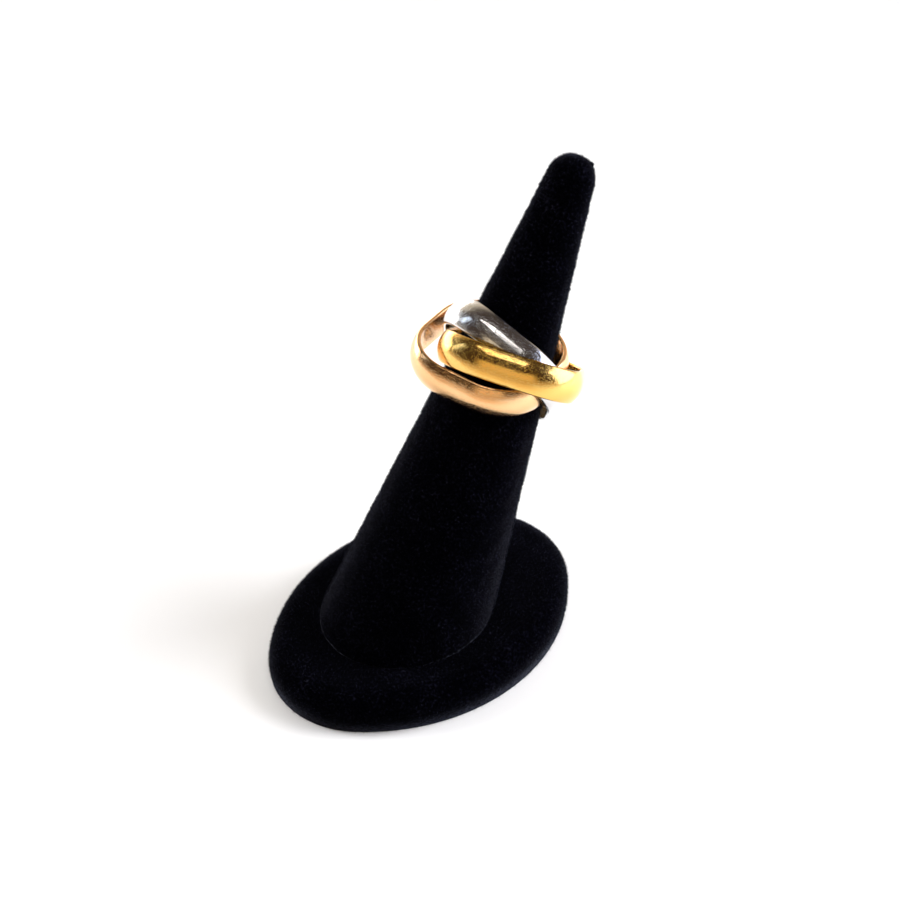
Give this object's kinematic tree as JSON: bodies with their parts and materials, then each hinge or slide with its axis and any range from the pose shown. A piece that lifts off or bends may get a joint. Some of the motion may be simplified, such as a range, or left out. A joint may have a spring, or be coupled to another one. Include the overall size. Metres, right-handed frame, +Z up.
{
  "type": "rolling ring on a ring-finger display stand",
  "caption": "Rolling ring of interlocked cushion-shaped gold bands in mixed colours, worn by a leaning velvet display finger on an oval base.",
  "frame": {"origin": "middle of the oval base's underside", "axes": "+Z up, +X along the base's long axis, the way the finger leans; the picture looks from -X and -Y"},
  "size_m": [0.0517, 0.034, 0.062],
  "materials": {
    "white_gold": "polished white gold",
    "yellow_gold": "polished yellow gold",
    "rose_gold": "polished rose gold",
    "black_flock": "flocked velvet"
  },
  "bodies": {
    "stand_and_rose_band": {"stand_base": "black_flock", "stand_finger": "black_flock", "rose_gold_band": "rose_gold"},
    "white_band": {"white_gold_band": "white_gold"},
    "yellow_band": {"yellow_gold_band": "yellow_gold"}
  },
  "joints": [
    {"name": "white_band_turn", "type": "hinge", "parent": "stand_and_rose_band", "child": "white_band", "pos_m": [0.01496, 0.00008, 0.03676], "axis": [0.853, -0.0462, 0.5198], "range_deg": [-4, 4]},
    {"name": "yellow_band_turn", "type": "hinge", "parent": "stand_and_rose_band", "child": "yellow_band", "pos_m": [0.01454, -0.00152, 0.03714], "axis": [0.5306, 0.1234, 0.8386], "range_deg": [-3, 4]}
  ]
}
